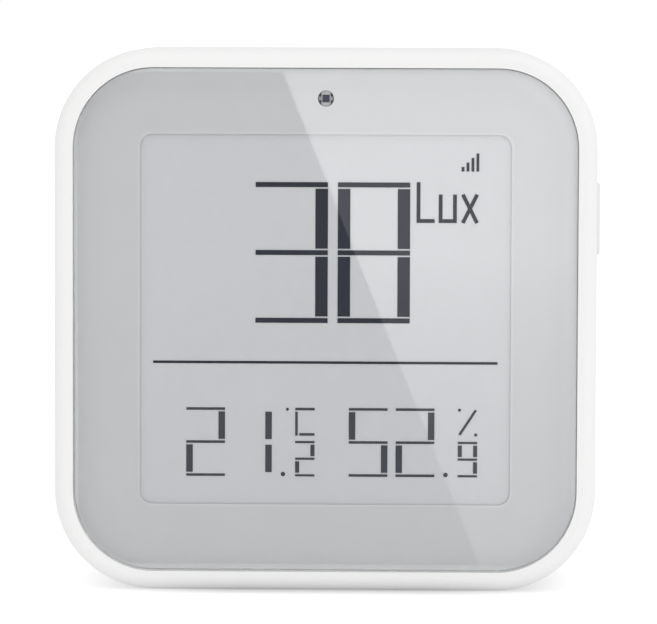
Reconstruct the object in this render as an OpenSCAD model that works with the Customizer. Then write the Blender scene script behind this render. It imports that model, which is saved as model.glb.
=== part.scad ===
// Desk sensor for light, temperature and humidity, with a segment display.
// It stands on its lower edge: +Z is up, the display faces -Y, and the origin is on the surface below the
// middle of the case. Each piece is drawn lying on its back, with x to the right, y up the face and
// z from the rear face towards the viewer, and is then stood up.

/* [Case] */
// Room between the ends of the battery bay and the walls of the case
side_room = 1.8; // [1.2:0.1:6]
// Room between the battery bay and the board
board_room = 2.45; // [2.2:0.05:6]
// Corner radius of the case seen from the front
case_corner_r = 11; // [9:0.5:13]
// Rounding of the case's front edge
front_edge_r = 1.4; // [1:0.1:2.5]
// Rounding of the case's rear edge
rear_edge_r = 3; // [1:0.1:3.5]
// Wall of the case
wall = 1.8; // [1.5:0.1:2.1]
// Height of the seam between rear cover and front housing above the rear face
seam_z = 7; // [6:0.5:9]
// Open groove along the seam
seam_gap = 0.2; // [0.1:0.05:0.5]
// Height of the rear cover's lip inside the front housing
lip_h = 1.5; // [1:0.1:2.5]
// Clearance around that lip
lip_gap = 0.1; // [0.05:0.05:0.2]

/* [Lens] */
// Width of the white rim around the lens
rim_w = 2.1; // [1.6:0.1:4]
// Clearance between the rim and the lens
lens_gap = 0.1; // [0.1:0.05:0.3]
// Depth of the lens below the rim
lens_recess = 0.1; // [0:0.05:0.4]
// Thickness of the lens
lens_t = 1.4; // [1:0.1:2]
// Rounding of the lens's front edge
lens_edge_r = 0.4; // [0.2:0.1:0.9]
// Thickness of the print on the back of the lens
mask_t = 0.1; // [0.05:0.05:0.2]
// Thickness of the adhesive frame behind the lens
tape_t = 0.2; // [0.1:0.05:0.4]
// Distance of the adhesive frame from the lens's edge
tape_inset = 0.5; // [0.2:0.1:1]
// Width of the grey border around the square window
border_w = 7.25; // [6.6:0.05:9]
// Corner radius of the window
window_r = 1.4; // [0.5:0.1:3]
// Distance of the adhesive frame from the window
tape_clear = 1; // [0.5:0.1:1.2]

/* [Display] */
// Overlap of the display glass behind the border
display_lap = 2; // [1.8:0.05:2.15]
// Corner radius of the display glass
display_r = 0.8; // [0.4:0.1:1.5]
// Clearance around the display glass
display_gap = 0.2; // [0.1:0.05:0.4]
// Margin of the display film inside the glass on three sides
film_margin = 0.5; // [0.2:0.1:0.7]
// Strip of bare glass below the film, where the ribbon is bonded
bond_strip = 1.7; // [1.5:0.1:1.8]
// Thickness of the display film
film_t = 0.3; // [0.2:0.05:0.5]
// Thickness of the display glass
glass_t = 0.8; // [0.5:0.1:1.1]
// Thickness of the foam behind the glass
foam_t = 0.9; // [0.6:0.1:1.2]
// Margin of the foam inside the glass
foam_margin = 1; // [0.5:0.1:3]
// Thickness of the segments on the film
segment_t = 0.05; // [0.02:0.01:0.1]
// Width of the ribbon
ribbon_w = 12; // [8:0.5:16]
// Thickness of the ribbon
ribbon_t = 0.1; // [0.08:0.01:0.15]
// Inner radius of the ribbon's bends
ribbon_bend_r = 0.4; // [0.3:0.05:0.5]
// Clearance around the ribbon
ribbon_gap = 0.7; // [0.5:0.1:1]

/* [Display marks] */
// Width and height of a large digit
big_digit = [8, 15.6]; // [4:0.1:20]
// Thickness of its bars and of its posts
big_stroke = [0.55, 1.38]; // [0.2:0.01:2]
// Spacing of the large digits
big_pitch = 9.1; // [8.5:0.1:12]
// Lower left corner of the large digits
big_at = [-7.75, -0.35]; // [-20:0.05:20]
// Width and height of a medium digit
mid_digit = [4.3, 7.65]; // [2:0.05:10]
// Thickness of its bars and of its posts
mid_stroke = [0.28, 0.72]; // [0.1:0.01:1]
// Spacing of the medium digits
mid_pitch = 5.2; // [4.6:0.1:7]
// Width and height of a small digit
small_digit = [2.15, 3.95]; // [1:0.05:5]
// Thickness of its bars and of its posts
small_stroke = [0.24, 0.45]; // [0.1:0.01:0.6]
// Gap between neighbouring segments
segment_gap = 0.17; // [0.1:0.01:0.3]
// Left edge of the temperature and of the humidity reading
reading_x = [-15.4, 2.65]; // [-20:0.05:20]
// Lower edge of both readings
reading_y = -17.45; // [-19:0.05:-10]
// Distance of a reading's decimal point from its left edge
point_dx = 10.75; // [10:0.05:12]
// Diameter of a decimal point
point_d = 0.5; // [0.3:0.05:0.8]
// Distance of a reading's small digit and unit from its left edge
tenths_dx = 12.1; // [11.5:0.05:14]
// Height of a unit sign
unit_h = 3.1; // [2:0.1:4]
// Stroke of a unit sign
unit_stroke = 0.28; // [0.15:0.01:0.4]
// Diameter of the small round dots in the unit signs
unit_dot_d = 0.34; // [0.2:0.02:0.5]
// Distance of the degree dot from its letter
degree_dx = 0.87; // [0.5:0.01:1]
// Lower left corner of the light unit
lux_at = [10.05, 10.8]; // [-20:0.05:20]
// Height of its tall letter and of its low letters
lux_h = [4.5, 3.15]; // [1:0.05:6]
// Width of a letter
lux_w = 2; // [1:0.05:3]
// Spacing of the letters
lux_pitch = 2.45; // [2.2:0.05:4]
// Stroke of the letters
lux_stroke = 0.42; // [0.2:0.02:0.6]
// Length and thickness of the divider
divider = [38.2, 0.28]; // [0.1:0.01:40]
// Height of the divider's centre line
divider_y = -4.75; // [-9:0.05:-1]
// Lower left corner of the signal bars
bars_at = [15, 16.5]; // [-20:0.05:20]
// Width and height of the signal bars together
bars_size = [1.95, 2]; // [1:0.05:4]
// Number of signal bars
bar_count = 4; // [3:1:5]

/* [Light sensor] */
// Diameter of the sensor hole in the print
light_hole_d = 1.7; // [1:0.1:2.4]
// Height of the hole above the window
light_rise = 3.95; // [3.8:0.05:4.6]
// Width, height and thickness of the sensor package
light_package = [1, 2, 1.9]; // [0.5:0.05:2]
// Width and height of a terminal beside the package, and its depth below the package's face
light_terminal = [0.3, 0.4, 0.3]; // [0.1:0.05:0.4]
// Width, height and thickness of the die
light_die = [0.8, 0.85, 0.05]; // [0.02:0.01:1.2]
// Clearance around the package in its well
light_well_gap = 0.2; // [0.1:0.05:0.25]

/* [Board] */
// Clearance between the board and the case wall
board_gap = 1.6; // [1.3:0.1:2]
// Thickness of the board
board_t = 1; // [0.8:0.1:1.2]
// Corner radius of the board
board_r = 7; // [5:0.5:9]
// Clearance between the board and the screw bosses
boss_gap = 0.4; // [0.2:0.1:0.8]
// Distance of the board screws from the board's sides
board_screw_inset = 1.6; // [1.4:0.1:2]
// Distance of the board screws from the screw bosses
board_screw_gap = 2.4; // [2.1:0.1:6]
// Diameter of the board screws' shank
board_screw_d = 1.4; // [1.2:0.1:1.6]
// Length of the board screws' shank
board_screw_l = 2.8; // [2.2:0.1:2.9]
// Diameter and height of the board screws' head
board_screw_head = [2.8, 0.9]; // [0.6:0.1:3.2]
// Width, height and thickness of the radio board
radio_size = [16, 12.6, 0.8]; // [0.6:0.1:18]
// Clearance between the radio board and the nearest screw boss
radio_gap = 1.3; // [0.5:0.1:3]
// Clearance between the battery bay and the tall parts above it
bay_part_gap = 0.8; // [0.5:0.1:2]
// Height of the radio shield
shield_h = 1.3; // [1:0.1:1.4]
// Sheet thickness of the radio shield
shield_t = 0.2; // [0.1:0.05:0.3]
// Strip of radio board left bare for the aerial
aerial_w = 4; // [3:0.1:6]
// Width, height and thickness of the controller chip
controller_size = [5, 5, 0.9]; // [0.6:0.1:7]
// Middle of the controller chip, from the middle of the battery bay's upper edge
controller_at = [10.5, 5.1]; // [3.5:0.1:12]
// Length, width and thickness of the crystal
crystal_size = [3.2, 1.5, 0.8]; // [0.5:0.1:4]
// Middle of the crystal, from the same point
crystal_at = [10.5, 9.9]; // [9.6:0.1:12]
// Length, width and thickness of the storage capacitor
capacitor_size = [3.5, 2.8, 1.8]; // [1:0.1:4]
// Clearance between the storage capacitor and the nearest screw boss
capacitor_gap = 0.85; // [0.5:0.05:2]
// Height of the storage capacitor above the battery bay's upper edge
capacitor_rise = 9.6; // [8:0.1:11]
// Width, height and thickness of the climate sensor
climate_size = [2.5, 2.5, 0.9]; // [0.6:0.1:3]
// Middle of the climate sensor, from the middle of the battery bay's upper edge
climate_at = [3, 9.6]; // [2:0.1:11]
// Diameter of the climate sensor's port
climate_port_d = 1; // [0.6:0.1:1.4]
// Width, length and thickness of a small chip part
chip_size = [0.5, 1, 0.4]; // [0.3:0.05:1.2]
// Spacing of the small chip parts
chip_pitch = 1.2; // [0.9:0.1:2]
// Number of small chip parts in a row
chip_count = 7; // [3:1:8]
// Middle of the row of small chip parts, from the same point
chips_at = [9, 13.7]; // [6:0.1:14]
// Depth and height of the ribbon's socket
socket_size = [3.2, 1.2]; // [0.8:0.1:4]
// Room between the ribbon's socket and the end of its slot
socket_gap = 2.6; // [2:0.1:4]

/* [Side button] */
// Length and width of the button
button_size = [8.1, 2.8]; // [2:0.1:9]
// Height of the button above the side of the case
button_rise = 0.5; // [0.35:0.05:0.8]
// Rounding of the button's edge
button_edge_r = 0.3; // [0.1:0.05:0.35]
// Clearance around the button in the wall
button_gap = 0.12; // [0.05:0.01:0.2]
// Clearance between the button's flange and the wall
flange_gap = 0.05; // [0.02:0.01:0.1]
// Overhang of the flange around the button
flange_lap = 0.5; // [0.3:0.1:0.7]
// Thickness of the flange
flange_t = 0.8; // [0.5:0.1:0.9]
// Diameter of the button's foot
button_foot_d = 1.4; // [1:0.1:2]
// Travel of the button
button_travel = 0.3; // [0.2:0.05:0.35]
// Depth, length and height of the switch
switch_size = [3, 4.8, 3.4]; // [2.5:0.1:5]
// Distance of the switch's face from the edge of the board
switch_inset = 0.8; // [0.7:0.1:1.2]
// Depth, length and height of the switch plunger
plunger_size = [1.6, 1.8, 1.4]; // [1:0.1:2]
// Part of the plunger that stands out of the switch
plunger_out = 0.8; // [0.6:0.1:0.9]
// Clearance around the plunger
plunger_gap = 0.05; // [0.03:0.01:0.1]

/* [Battery bay] */
// Diameter of a cell
cell_d = 10.5; // [10:0.1:10.6]
// Length of a cell with its terminal
cell_l = 44.5; // [44:0.1:44.8]
// Diameter and height of the terminal
cell_terminal = [3.8, 0.9]; // [0.5:0.1:4]
// Play around a cell
cell_play = 0.3; // [0.2:0.05:0.4]
// Clearance between the bay and the lower screw bosses
bay_boss_gap = 1.7; // [1.2:0.1:2.5]
// Wall of the bay
bay_wall = 1.8; // [1.5:0.1:1.9]
// Floor of the bay
bay_floor = 1; // [0.8:0.1:1.3]
// Sheet thickness of the contacts
contact_t = 0.4; // [0.3:0.05:0.5]
// Height of the dimple that meets a cell's terminal
dimple_h = 0.3; // [0.2:0.05:0.5]
// Diameter of that dimple
dimple_d = 3; // [2:0.1:4]
// Width and height of a contact
contact_size = [8.6, 9]; // [7:0.1:10]
// Width of a contact's leg
leg_w = 2; // [1.5:0.1:3]
// Clearance around a contact's leg
leg_gap = 0.15; // [0.1:0.05:0.3]
// Fitted length of a contact spring
spring_l = 3.6; // [3.4:0.1:3.9]
// Diameter of the spring's wire
spring_wire = 0.6; // [0.4:0.05:0.65]
// Radius of the spring's first and last turn
spring_r = [3.4, 2]; // [1.5:0.1:4]
// Number of turns
spring_turns = 3; // [2:0.5:3]
// Clearance at both ends of a spring
spring_seat = 0.02; // [0.01:0.01:0.05]

/* [Battery door] */
// Thickness of the door
door_t = 1.5; // [1.3:0.1:1.6]
// Depth of the door below the rear face
door_recess = 0.1; // [0.05:0.05:0.2]
// Overlap of the door on the bay's wall
door_lap = 0.9; // [0.6:0.1:1]
// Clearance around the door
door_gap = 0.15; // [0.1:0.05:0.25]
// Wider clearance at the door's free edge
door_free_gap = 0.35; // [0.3:0.05:0.5]
// Clearance between the door and its seat
door_seat_gap = 0.05; // [0.02:0.01:0.1]
// Diameter of the hinge pins
hinge_pin_d = 0.9; // [0.7:0.05:0.95]
// Length of the hinge pins
hinge_pin_l = 0.9; // [0.7:0.1:1]
// Clearance of the hinge pins
hinge_gap = 0.06; // [0.04:0.01:0.1]
// Length of the door's catch
catch_l = 8; // [4:0.5:12]
// Height of the catch above the door's edge
catch_h = 0.2; // [0.1:0.05:0.25]
// Length, thickness and height of the rib inside the door
door_rib = [30, 0.8, 1.2]; // [0.5:0.1:40]
// Depth of the thumb scoop beside the door
scoop_depth = 1; // [0.6:0.1:1.1]
// Radius of the scoop
scoop_r = 9; // [6:0.5:12]

/* [Screws and vents] */
// Distance of the case screws from the sides of the case
screw_inset = 7.2; // [7:0.1:7.6]
// Diameter of the case screws' shank
screw_d = 2; // [1.6:0.1:2.2]
// Length of the case screws' shank
screw_l = 10; // [8:0.5:12]
// Diameter and height of the case screws' head
screw_head = [3.8, 1.3]; // [1:0.1:4]
// Width and depth of the cross recess
cross_recess = [0.6, 0.6]; // [0.4:0.1:0.8]
// Depth of the seat of a screw's head below the rear face
screw_seat_z = 2.4; // [2:0.1:3]
// Clearance around a screw's head
screw_head_gap = 0.2; // [0.1:0.05:0.3]
// Clearance of a screw in the piece that it passes through
screw_pass_gap = 0.15; // [0.1:0.05:0.3]
// Clearance of a screw in the piece that it grips
screw_grip_gap = 0.02; // [0.01:0.01:0.05]
// Depth of a grip hole past the screw's tip
screw_tip_gap = 0.6; // [0.3:0.1:1]
// Diameter of a screw boss
boss_d = 6.4; // [5.6:0.1:6.8]
// Thickness of the web between a boss and the corner of the case
web_t = 1.6; // [1:0.1:2.5]
// Number of vent slots
vent_count = 7; // [3:2:9]
// Length and width of a vent slot
vent_size = [8, 1.2]; // [0.8:0.1:10]
// Spacing of the vent slots
vent_pitch = 2.6; // [2.2:0.1:2.8]
// Height of the middle of the vents above the battery bay
vent_rise = 10.1; // [9.5:0.1:11]

/* [Hidden] */
$fn = 64;

// Overshoot of a cut past the face that it opens
cut = 0.5;
// Depth to which a boss reaches into the wall that carries it
sink = 0.5;

// Colours
white_plastic = [0.93, 0.93, 0.92];
lens_clear = [0.85, 0.88, 0.88, 0.4];
mask_grey = [0.70, 0.72, 0.71];
film_grey = [0.77, 0.78, 0.77];
segment_ink = [0.16, 0.17, 0.20];
glass_tint = [0.55, 0.62, 0.60];
tape_black = [0.12, 0.12, 0.12];
foam_black = [0.18, 0.18, 0.19];
ribbon_amber = [0.72, 0.45, 0.12];
board_green = [0.06, 0.32, 0.20];
steel = [0.72, 0.73, 0.74];
nickel = [0.80, 0.79, 0.75];
package_black = [0.10, 0.10, 0.11];
package_clear = [0.75, 0.74, 0.70];
socket_ivory = [0.85, 0.83, 0.76];
capacitor_tan = [0.80, 0.60, 0.22];
sleeve_blue = [0.20, 0.36, 0.52];

// Battery bay and cells, from the rear face forwards
door_in_z = door_recess + door_t;
seat_z = door_in_z + door_seat_gap;
cell_z = seat_z + cell_play + cell_d / 2;
floor_z = cell_z + cell_d / 2 + cell_play;
bay_top_z = floor_z + bay_floor;
cell_pitch = cell_d + 2 * cell_play;
bay_l = 2 * contact_t + dimple_h + spring_l + cell_l;
bay_h = cell_pitch + cell_d + 2 * cell_play;

// Case: as wide as the bay needs, and as deep as the layers in front of it need
case_w = bay_l + 2 * (bay_wall + side_room + wall);
board_back_z = bay_top_z + board_room;
ledge_back_z = board_back_z + board_t;
glass_back_z = ledge_back_z + foam_t;
film_back_z = glass_back_z + glass_t;
ledge_z = film_back_z + film_t;
mask_back_z = ledge_z + tape_t;
lens_back_z = mask_back_z + mask_t;
lens_front_z = lens_back_z + lens_t;
case_d = lens_front_z + lens_recess;

// Case inside
cavity_w = case_w - 2 * wall;
cavity_r = case_corner_r - wall;
lip_outer_w = cavity_w + wall - lip_gap;
lip_outer_r = cavity_r + (wall - lip_gap) / 2;
rebate_w = cavity_w + wall + lip_gap;
rebate_r = cavity_r + (wall + lip_gap) / 2;

// Case screws
screw_xy = case_w / 2 - screw_inset;
screw_tip_z = screw_seat_z + screw_l;
web_l = (case_w / 2 - case_corner_r - screw_xy) * sqrt(2) + case_corner_r - wall / 2;
boss_edge = screw_xy - boss_d / 2;

// Height of the bay, of its cells and of its upper edge
bay_y = -boss_edge + bay_boss_gap + bay_wall + bay_h / 2;
cell_y = [bay_y - cell_pitch / 2, bay_y + cell_pitch / 2];
bay_edge_y = bay_y + bay_h / 2 + bay_wall;
vent_y = bay_edge_y + vent_rise;

// Battery door and hinge
door_w = bay_l + 2 * door_lap;
door_h = bay_h + 2 * door_lap;
door_top_y = bay_y + door_h / 2;
hinge_y = bay_y - door_h / 2 + door_t / 2;
hinge_z = door_recess + door_t / 2;
socket_pad = 2 * hinge_pin_d;

// Lens, window and light sensor
lens_open_w = case_w - 2 * rim_w;
lens_open_r = case_corner_r - rim_w;
lens_w = lens_open_w - 2 * lens_gap;
lens_r = lens_open_r - lens_gap;
window_w = lens_w - 2 * border_w;
light_y = window_w / 2 + light_rise;
light_well_r = norm([light_package[0], light_package[1]]) / 2 + light_well_gap;

// Display opening, film and ribbon
display_w = window_w + 2 * display_lap;
display_open_w = display_w + 2 * display_gap;
film_w = display_w - 2 * film_margin;
film_h = display_w - film_margin - bond_strip;
film_dy = (bond_strip - film_margin) / 2;
tape_open_w = window_w + 2 * tape_clear;
ribbon_y = -display_w / 2 - ribbon_gap;
ribbon_outer_r = ribbon_bend_r + ribbon_t;
ribbon_slot_w = ribbon_w + 2 * ribbon_gap;
ribbon_slot_y = ribbon_y - ribbon_gap;
ribbon_slot_h = 2 * ribbon_gap + ribbon_t;
ribbon_low_z = board_back_z - socket_size[1] / 2;
socket_y = ribbon_slot_y + ribbon_slot_h + socket_gap + socket_size[0] / 2;

// Board, its screws and the parts placed by their neighbours
board_w = cavity_w - 2 * board_gap;
board_screw_x = board_w / 2 - board_screw_inset;
board_screw_y = boss_edge - board_screw_gap;
above_bay = [0, bay_edge_y];
radio_at = [radio_gap + radio_size[0] / 2 - boss_edge, bay_edge_y + bay_part_gap + radio_size[1] / 2];
capacitor_at = [boss_edge - capacitor_gap - capacitor_size[0] / 2, bay_edge_y + capacitor_rise];

// Side button and switch
button_y = bay_edge_y + bay_part_gap + switch_size[1] / 2;
switch_z = board_back_z - switch_size[2] / 2;
switch_face_x = board_w / 2 - switch_inset;
plunger_tip_x = switch_face_x + plunger_out;
flange_x = cavity_w / 2 - flange_gap;
button_top_x = case_w / 2 + button_rise;
pocket_depth = plunger_size[0] - plunger_out + button_travel + plunger_gap;

// Stands a piece that lies on its back onto its lower edge
module stand_up() {
    translate([0, case_d / 2, case_w / 2]) rotate([90, 0, 0]) children();
}

// Flat rectangle with round corners
module plate(w, h, r) {
    square([w - 2 * r, h], center = true);
    square([w, h - 2 * r], center = true);
    for (x = [-1, 1], y = [-1, 1])
        translate([x * (w / 2 - r), y * (h / 2 - r)]) circle(r);
}

// Straight-sided slab between two heights
module slab(w, h, r, z0, z1) {
    translate([0, 0, z0]) linear_extrude(z1 - z0) plate(w, h, r);
}

// Slot with half-round ends along y between two heights
module slot(l, w, z0, z1) {
    translate([0, 0, z0]) linear_extrude(z1 - z0) {
        square([w, l - w], center = true);
        for (side = [-1, 1]) translate([0, side * (l - w) / 2]) circle(d = w);
    }
}

// Block centred in x and y between two heights
module block(w, h, z0, z1) {
    translate([-w / 2, -h / 2, z0]) cube([w, h, z1 - z0]);
}

// Section of a slab's edge, rounded at its rear and front corners
module edge_section(reach, t, rear_r, front_r) {
    translate([0, rear_r]) square([reach, t - rear_r - front_r]);
    if (rear_r > 0) {
        square([reach - rear_r, rear_r]);
        translate([reach - rear_r, rear_r]) circle(rear_r);
    }
    if (front_r > 0) {
        translate([0, t - front_r]) square([reach - front_r, front_r]);
        translate([reach - front_r, t - front_r]) circle(front_r);
    }
}

// Square slab with round corners and rounded rear and front edges
module soft_slab(w, r, z0, z1, rear_r, front_r) {
    t = z1 - z0;
    side = w - 2 * r;
    translate([0, 0, z0]) {
        block(side, side, 0, t);
        for (turn = [0:90:270]) rotate(turn) translate([side / 2, side / 2, 0]) {
            rotate_extrude(angle = 90) edge_section(r, t, rear_r, front_r);
            rotate([90, 0, 0]) linear_extrude(side) edge_section(r, t, rear_r, front_r);
        }
    }
}

// Slot-shaped solid along y with a rounded front edge
module soft_pill(l, w, z0, z1, front_r) {
    t = z1 - z0;
    straight = l - w;
    translate([0, 0, z0]) for (turn = [0, 180]) rotate(turn) {
        translate([0, straight / 2, 0]) rotate_extrude(angle = 180) edge_section(w / 2, t, 0, front_r);
        translate([0, straight / 2, 0]) rotate([90, 0, 0]) linear_extrude(straight)
            edge_section(w / 2, t, 0, front_r);
    }
}

// Extrudes a section drawn in y and z along x, centred
module extrude_x(l) {
    translate([-l / 2, 0, 0]) rotate([90, 0, 90]) linear_extrude(l) children();
}

// Places children at the four case screws
module at_case_screws() {
    for (x = [-1, 1], y = [-1, 1]) translate([x * screw_xy, y * screw_xy, 0]) children();
}

// Places children at the board screws
module at_board_screws() {
    for (x = [-1, 1], y = [-1, 1]) translate([x * board_screw_x, y * board_screw_y, 0]) children();
}

// Boss for a case screw at each corner, with a web to the wall up to a height of its own
module screw_bosses(z0, z1, web_z1) {
    at_case_screws() translate([0, 0, z0]) cylinder(d = boss_d, h = z1 - z0);
    for (turn = [45:90:315]) rotate(turn)
        translate([screw_xy * sqrt(2), -web_t / 2, z0]) cube([web_l, web_t, web_z1 - z0]);
}

// Turns a piece built along z so that z points out of the right side, and sets it at the button
module at_button() {
    translate([0, button_y, switch_z]) rotate([0, 90, 0]) children();
}

module front_housing() {
    color(white_plastic) stand_up() difference() {
        union() {
            difference() {
                soft_slab(case_w, case_corner_r, seam_z + seam_gap, case_d, 0, front_edge_r);
                slab(cavity_w, cavity_w, cavity_r, 0, ledge_back_z);
                slab(rebate_w, rebate_w, rebate_r, 0, seam_z + lip_h + lip_gap);
            }
            screw_bosses(seam_z + lip_h + lip_gap, ledge_back_z, ledge_back_z);
            at_case_screws() translate([0, 0, seam_z]) cylinder(d = boss_d, h = lip_h + lip_gap);
        }
        slab(lens_open_w, lens_open_w, lens_open_r, ledge_z, case_d + cut);
        slab(display_open_w, display_open_w, display_r, ledge_back_z, ledge_z + cut);
        translate([0, ribbon_slot_y + (-display_w / 2 - ribbon_slot_y) / 2, 0])
            block(ribbon_slot_w, -display_w / 2 - ribbon_slot_y, ledge_back_z - cut, ledge_z + cut);
        translate([0, light_y, ledge_back_z - cut])
            cylinder(r = light_well_r, h = ledge_z - ledge_back_z + 2 * cut);
        at_case_screws() translate([0, 0, seam_z - cut])
            cylinder(d = screw_d + 2 * screw_grip_gap, h = screw_tip_z + screw_tip_gap - seam_z + cut);
        at_board_screws() translate([0, 0, ledge_back_z - cut])
            cylinder(d = board_screw_d + 2 * screw_grip_gap, h = ledge_z - ledge_back_z + 2 * cut);
        at_button() slot(button_size[0] + 2 * button_gap, button_size[1] + 2 * button_gap,
            cavity_w / 2 - cut, case_w / 2 + cut);
    }
}

module front_lens() {
    color(lens_clear) stand_up() soft_slab(lens_w, lens_r, lens_back_z, lens_front_z, 0, lens_edge_r);
}

module lens_mask() {
    color(mask_grey) stand_up() difference() {
        slab(lens_w, lens_w, lens_r, mask_back_z, lens_back_z);
        slab(window_w, window_w, window_r, mask_back_z - cut, lens_back_z + cut);
        translate([0, light_y, mask_back_z - cut]) cylinder(d = light_hole_d, h = mask_t + 2 * cut);
    }
}

module lens_tape() {
    tape_w = lens_w - 2 * tape_inset;
    color(tape_black) stand_up() difference() {
        slab(tape_w, tape_w, lens_r - tape_inset, ledge_z, mask_back_z);
        slab(tape_open_w, tape_open_w, window_r, ledge_z - cut, mask_back_z + cut);
        translate([0, light_y, ledge_z - cut]) cylinder(r = light_well_r, h = tape_t + 2 * cut);
    }
}

module display_film() {
    color(film_grey) stand_up() translate([0, film_dy, 0])
        slab(film_w, film_h, display_r, film_back_z, ledge_z);
}

module display_glass() {
    color(glass_tint) stand_up() slab(display_w, display_w, display_r, glass_back_z, film_back_z);
}

module display_foam() {
    foam_w = display_w - 2 * foam_margin;
    color(foam_black) stand_up() slab(foam_w, foam_w, display_r, ledge_back_z, glass_back_z);
}

// Straight bar from one point to another
module stroke_line(from, to, width) {
    run = to - from;
    translate(from) rotate(atan2(run[1], run[0])) translate([0, -width / 2]) square([norm(run), width]);
}

// True where a list holds the word
function has(list, word) = len([for (item = list) if (item == word) item]) > 0;

// Digit of seven segments: bars top, mid and low, and posts named by side and height
module digit(size, stroke, lit) {
    bar = stroke[0];
    post = stroke[1];
    half = size[1] / 2;
    post_h = half - 1.5 * bar - 2 * segment_gap;
    bars = [["top", size[1] - bar], ["mid", half - bar / 2], ["low", 0]];
    posts = [["left up", 0, 1], ["left down", 0, 0], ["right up", 1, 1], ["right down", 1, 0]];
    for (b = bars) if (has(lit, b[0])) translate([0, b[1]]) square([size[0], bar]);
    for (p = posts) if (has(lit, p[0]))
        translate([p[1] * (size[0] - post), p[2] == 1 ? half + bar / 2 + segment_gap : bar + segment_gap])
            square([post, post_h]);
}

module display_segments() {
    two = ["top", "mid", "low", "right up", "left down"];
    three = ["top", "mid", "low", "right up", "right down"];
    five = ["top", "mid", "low", "left up", "right down"];
    nine = ["top", "mid", "low", "left up", "right up", "right down"];
    eight = concat(nine, ["left down"]);
    one = ["right up", "right down"];
    color(segment_ink) stand_up() translate([0, 0, ledge_z]) linear_extrude(segment_t) {
        translate(big_at) digit(big_digit, big_stroke, three);
        translate(big_at + [big_pitch, 0]) digit(big_digit, big_stroke, eight);
        reading(reading_x[0], [two, one], two) degree_celsius();
        reading(reading_x[1], [five, two], nine) percent();
        translate(lux_at) light_unit();
        translate([-divider[0] / 2, divider_y - divider[1] / 2]) square(divider);
        translate(bars_at) signal_bars();
    }
}

// Two medium digits, a decimal point and a small digit with a unit above it
module reading(x, digits, tenths) {
    translate([x, reading_y]) {
        for (i = [0:len(digits) - 1])
            translate([i * mid_pitch, 0]) digit(mid_digit, mid_stroke, digits[i]);
        translate([point_dx, point_d / 2]) circle(d = point_d);
        translate([tenths_dx, 0]) digit(small_digit, small_stroke, tenths);
        translate([tenths_dx, mid_digit[1] - unit_h]) children();
    }
}

// Dot and three separate strokes
module degree_celsius() {
    foot_x = unit_stroke + segment_gap;
    translate([-degree_dx, unit_h - unit_dot_d / 2]) circle(d = unit_dot_d);
    translate([0, unit_h - unit_stroke]) square([small_digit[0], unit_stroke]);
    square([unit_stroke, unit_h - unit_stroke - segment_gap]);
    translate([foot_x, 0]) square([small_digit[0] - foot_x, unit_stroke]);
}

module percent() {
    r = unit_dot_d / 2;
    translate([r, unit_h - r]) circle(r);
    translate([small_digit[0] - r, r]) circle(r);
    stroke_line([r, r], [small_digit[0] - r, unit_h - r], unit_stroke);
}

module light_unit() {
    s = lux_stroke;
    square([s, lux_h[0]]);
    square([lux_w, s]);
    translate([lux_pitch, 0]) {
        square([lux_w, s]);
        for (x = [0, lux_w - s]) translate([x, 0]) square([s, lux_h[1]]);
    }
    translate([2 * lux_pitch, 0]) {
        stroke_line([s / 2, 0], [lux_w - s / 2, lux_h[1]], s);
        stroke_line([s / 2, lux_h[1]], [lux_w - s / 2, 0], s);
    }
}

// Bars of rising height, with gaps in a set ratio to their width
module signal_bars() {
    gap_ratio = 0.75;
    bar_w = bars_size[0] / (bar_count + gap_ratio * (bar_count - 1));
    for (i = [0:bar_count - 1])
        translate([(1 + gap_ratio) * bar_w * i, 0]) square([bar_w, bars_size[1] * (i + 1) / bar_count]);
}

// Quarter bend of the ribbon's section between two directions
module ribbon_bend(quadrant) {
    intersection() {
        difference() {
            circle(ribbon_outer_r);
            circle(ribbon_bend_r);
        }
        rotate(quadrant * 90) square(ribbon_outer_r + cut);
    }
}

module display_ribbon() {
    bond_y = -display_w / 2 + bond_strip - display_gap;
    bend_y = ribbon_y + ribbon_outer_r;
    top_bend_z = film_back_z + ribbon_t - ribbon_outer_r;
    low_bend_z = ribbon_low_z + ribbon_outer_r;
    socket_face_y = socket_y - socket_size[0] / 2;
    color(ribbon_amber) stand_up() extrude_x(ribbon_w) {
        translate([bend_y, film_back_z]) square([bond_y - bend_y, ribbon_t]);
        translate([bend_y, top_bend_z]) ribbon_bend(1);
        translate([ribbon_y, low_bend_z]) square([ribbon_t, top_bend_z - low_bend_z]);
        translate([bend_y, low_bend_z]) ribbon_bend(2);
        translate([bend_y, ribbon_low_z]) square([socket_face_y - bend_y, ribbon_t]);
    }
}

module ribbon_socket() {
    color(socket_ivory) stand_up() translate([0, socket_y, 0])
        block(ribbon_slot_w, socket_size[0], board_back_z - socket_size[1], board_back_z);
}

module main_board() {
    color(board_green) stand_up() difference() {
        slab(board_w, board_w, board_r, board_back_z, ledge_back_z);
        at_case_screws() translate([0, 0, board_back_z - cut])
            cylinder(r = boss_d / 2 + boss_gap, h = board_t + 2 * cut);
        at_board_screws() translate([0, 0, board_back_z - cut])
            cylinder(d = board_screw_d + 2 * screw_pass_gap, h = board_t + 2 * cut);
        translate([0, ribbon_slot_y + ribbon_slot_h / 2, 0])
            block(ribbon_slot_w, ribbon_slot_h, board_back_z - cut, ledge_back_z + cut);
    }
}

// Pan-head screw along z with its head's seat at z = 0 and a cross recess
module pan_screw(shank_d, shank_l, head) {
    difference() {
        union() {
            cylinder(d = shank_d, h = shank_l);
            translate([0, 0, -head[1]]) cylinder(d = head[0], h = head[1]);
        }
        for (turn = [0, 90]) rotate(turn)
            block(head[0] / 2, cross_recess[0], -head[1] - cut, cross_recess[1] - head[1]);
    }
}

module board_screws() {
    color(steel) stand_up() at_board_screws() translate([0, 0, board_back_z])
        pan_screw(board_screw_d, board_screw_l, board_screw_head);
}

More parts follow.
